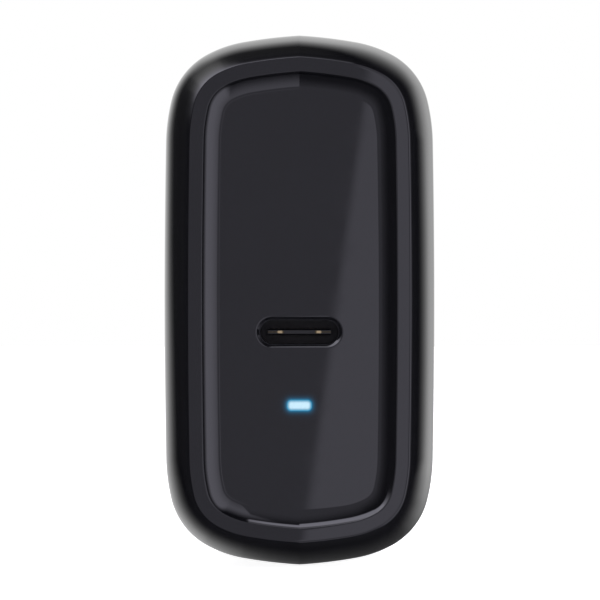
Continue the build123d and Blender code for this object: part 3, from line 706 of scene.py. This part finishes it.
def card_light(tree, direction, polar, azimuth):
    """White card on the right of the front, with a slanting edge."""
    near = beyond_edge(tree, direction, NEAR_EDGE, NEAR_BLUR)
    near = product(tree, near, ramp(tree, polar, *NEAR_CARD_FADE, 0, NEAR_CARD_LEVEL))
    end = level_round(tree, azimuth, CARD_END)
    full = level_round(tree, azimuth, CARD_FULL)
    far = product(
        tree,
        beyond_edge(tree, direction, FAR_EDGE, FAR_BLUR),
        ramp(tree, polar, *FAR_CARD_RISE, *FAR_CARD_LEVELS),
        level_round(tree, azimuth, CARD_SPAN),
        ramp(tree, polar, end, full),
    )
    return maths(tree, "MAXIMUM", near, far)


def low_card_light(tree, polar, azimuth):
    """Small card below and to the right."""
    return product(
        tree,
        ramp(tree, azimuth, *LOW_CARD_LEFT),
        ramp(tree, azimuth, *LOW_CARD_RIGHT),
        ramp(tree, polar, *LOW_CARD_START),
        ramp(tree, polar, *LOW_CARD_FADE, *LOW_CARD_LEVELS),
    )


def key_light(tree, polar, azimuth):
    """Strip light above and to the left, brightest at its lower edge."""
    reach = level_round(tree, azimuth, KEY_REACH)
    past = maths(tree, "SUBTRACT", polar, level_round(tree, azimuth, KEY_TOP))
    past = maths(tree, "MAXIMUM", past, 0.0)
    fade = maths(tree, "DIVIDE", past, maths(tree, "MULTIPLY", reach, -1.0))
    fade = maths(tree, "EXPONENT", fade)
    edge = level_round(tree, azimuth, KEY_EDGE)
    onset = ramp(tree, polar, edge, maths(tree, "ADD", edge, KEY_ONSET))
    return product(tree, level_round(tree, azimuth, KEY_LEVEL), fade, onset)


def wall_light(tree, polar, azimuth):
    """Pale walls behind, uneven round the body, and the haze before them."""
    start = level_round(tree, azimuth, WALL_START)
    full = level_round(tree, azimuth, WALL_FULL)
    wall = product(tree, ramp(tree, polar, start, full), level_round(tree, azimuth, WALL_LEVEL))
    haze_share = ramp(tree, polar, HAZE_START, HAZE_FULL)
    haze = product(tree, level_round(tree, azimuth, HAZE_LEVEL), haze_share)
    wall = maths(tree, "MAXIMUM", wall, haze)
    far = level_round(tree, azimuth, WALL_FAR)
    far_share = ramp(tree, polar, FAR_START, FAR_FULL)
    return maths(tree, "MULTIPLY_ADD", maths(tree, "SUBTRACT", far, wall), far_share, wall)


def studio_light(tree):
    """Brightness of the studio by direction, and the polar angle."""
    direction, polar, azimuth = studio_direction(tree)
    card = card_light(tree, direction, polar, azimuth)
    cards = maths(tree, "MAXIMUM", card, low_card_light(tree, polar, azimuth))
    front = maths(tree, "MAXIMUM", room_light(tree, polar, azimuth), cards)
    front = product(tree, front, ramp(tree, polar, FRONT_END, FRONT_FULL))
    front = maths(tree, "ADD", front, key_light(tree, polar, azimuth))
    return maths(tree, "ADD", front, wall_light(tree, polar, azimuth)), polar


def make_world():
    """Studio that the object mirrors, behind a plain white backdrop for the camera."""
    world = bpy.data.worlds.new("studio")
    bpy.context.scene.world = world
    world.use_nodes = True
    tree = world.node_tree
    tree.nodes.clear()
    level, polar = studio_light(tree)
    tint = mix(tree, ramp(tree, polar, TINT_START, TINT_END), FRONT_TINT, BACK_TINT)
    studio = tree.nodes.new("ShaderNodeBackground")
    feed(tree, tint, studio.inputs["Color"])
    feed(tree, level, studio.inputs["Strength"])
    backdrop = tree.nodes.new("ShaderNodeBackground")
    backdrop.inputs["Color"].default_value = (1, 1, 1, 1)
    choice = tree.nodes.new("ShaderNodeMixShader")
    rays = tree.nodes.new("ShaderNodeLightPath")
    tree.links.new(rays.outputs["Is Camera Ray"], choice.inputs["Fac"])
    tree.links.new(studio.outputs["Background"], choice.inputs[1])
    tree.links.new(backdrop.outputs["Background"], choice.inputs[2])
    output = tree.nodes.new("ShaderNodeOutputWorld")
    tree.links.new(choice.outputs["Shader"], output.inputs["Surface"])


def make_floor():
    """Plain white floor just under the object, unseen in the object's gloss."""
    half = FLOOR_HALF
    height = cad_box[0].z - FLOOR_GAP
    data = bpy.data.meshes.new("floor")
    corners = [(-half, -half), (half, -half), (half, half), (-half, half)]
    data.from_pydata([(x, y, height) for x, y in corners], [], [(0, 1, 2, 3)])
    floor = bpy.data.objects.new("floor", data)
    bpy.context.scene.collection.objects.link(floor)
    material, tree, shader = new_material("floor_white")
    feed(tree, (0.9, 0.9, 0.9), shader.inputs["Base Color"])
    feed(tree, (1.0, 1.0, 1.0), shader.inputs["Emission Color"])
    shader.inputs["Emission Strength"].default_value = 0.93
    shader.inputs["Roughness"].default_value = 0.9
    shader.inputs["Specular IOR Level"].default_value = 0.0
    data.materials.append(material)
    floor.visible_glossy = False


def make_camera():
    """Camera level with the body's middle, looking at its front."""
    data = bpy.data.cameras.new("camera")
    data.sensor_width = SENSOR / MM
    data.lens = SENSOR / MM * CAMERA_DISTANCE / VIEW_WIDTH
    camera = bpy.data.objects.new("camera", data)
    camera.location = (CAMERA_X, FRONT_Y * MM - CAMERA_DISTANCE, BODY_Z * MM)
    camera.rotation_euler = (pi / 2, 0, 0)
    bpy.context.scene.collection.objects.link(camera)
    bpy.context.scene.camera = camera


make_camera()
make_world()
make_floor()
materials = slot_materials()
dress_cad_nodes(materials)
front_shell = make_front_shell()
front_shell.data.materials.append(materials["gloss_housing"])
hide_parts("front_housing")
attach(front_shell, "charger")
bpy.context.scene.view_settings.view_transform = "Standard"
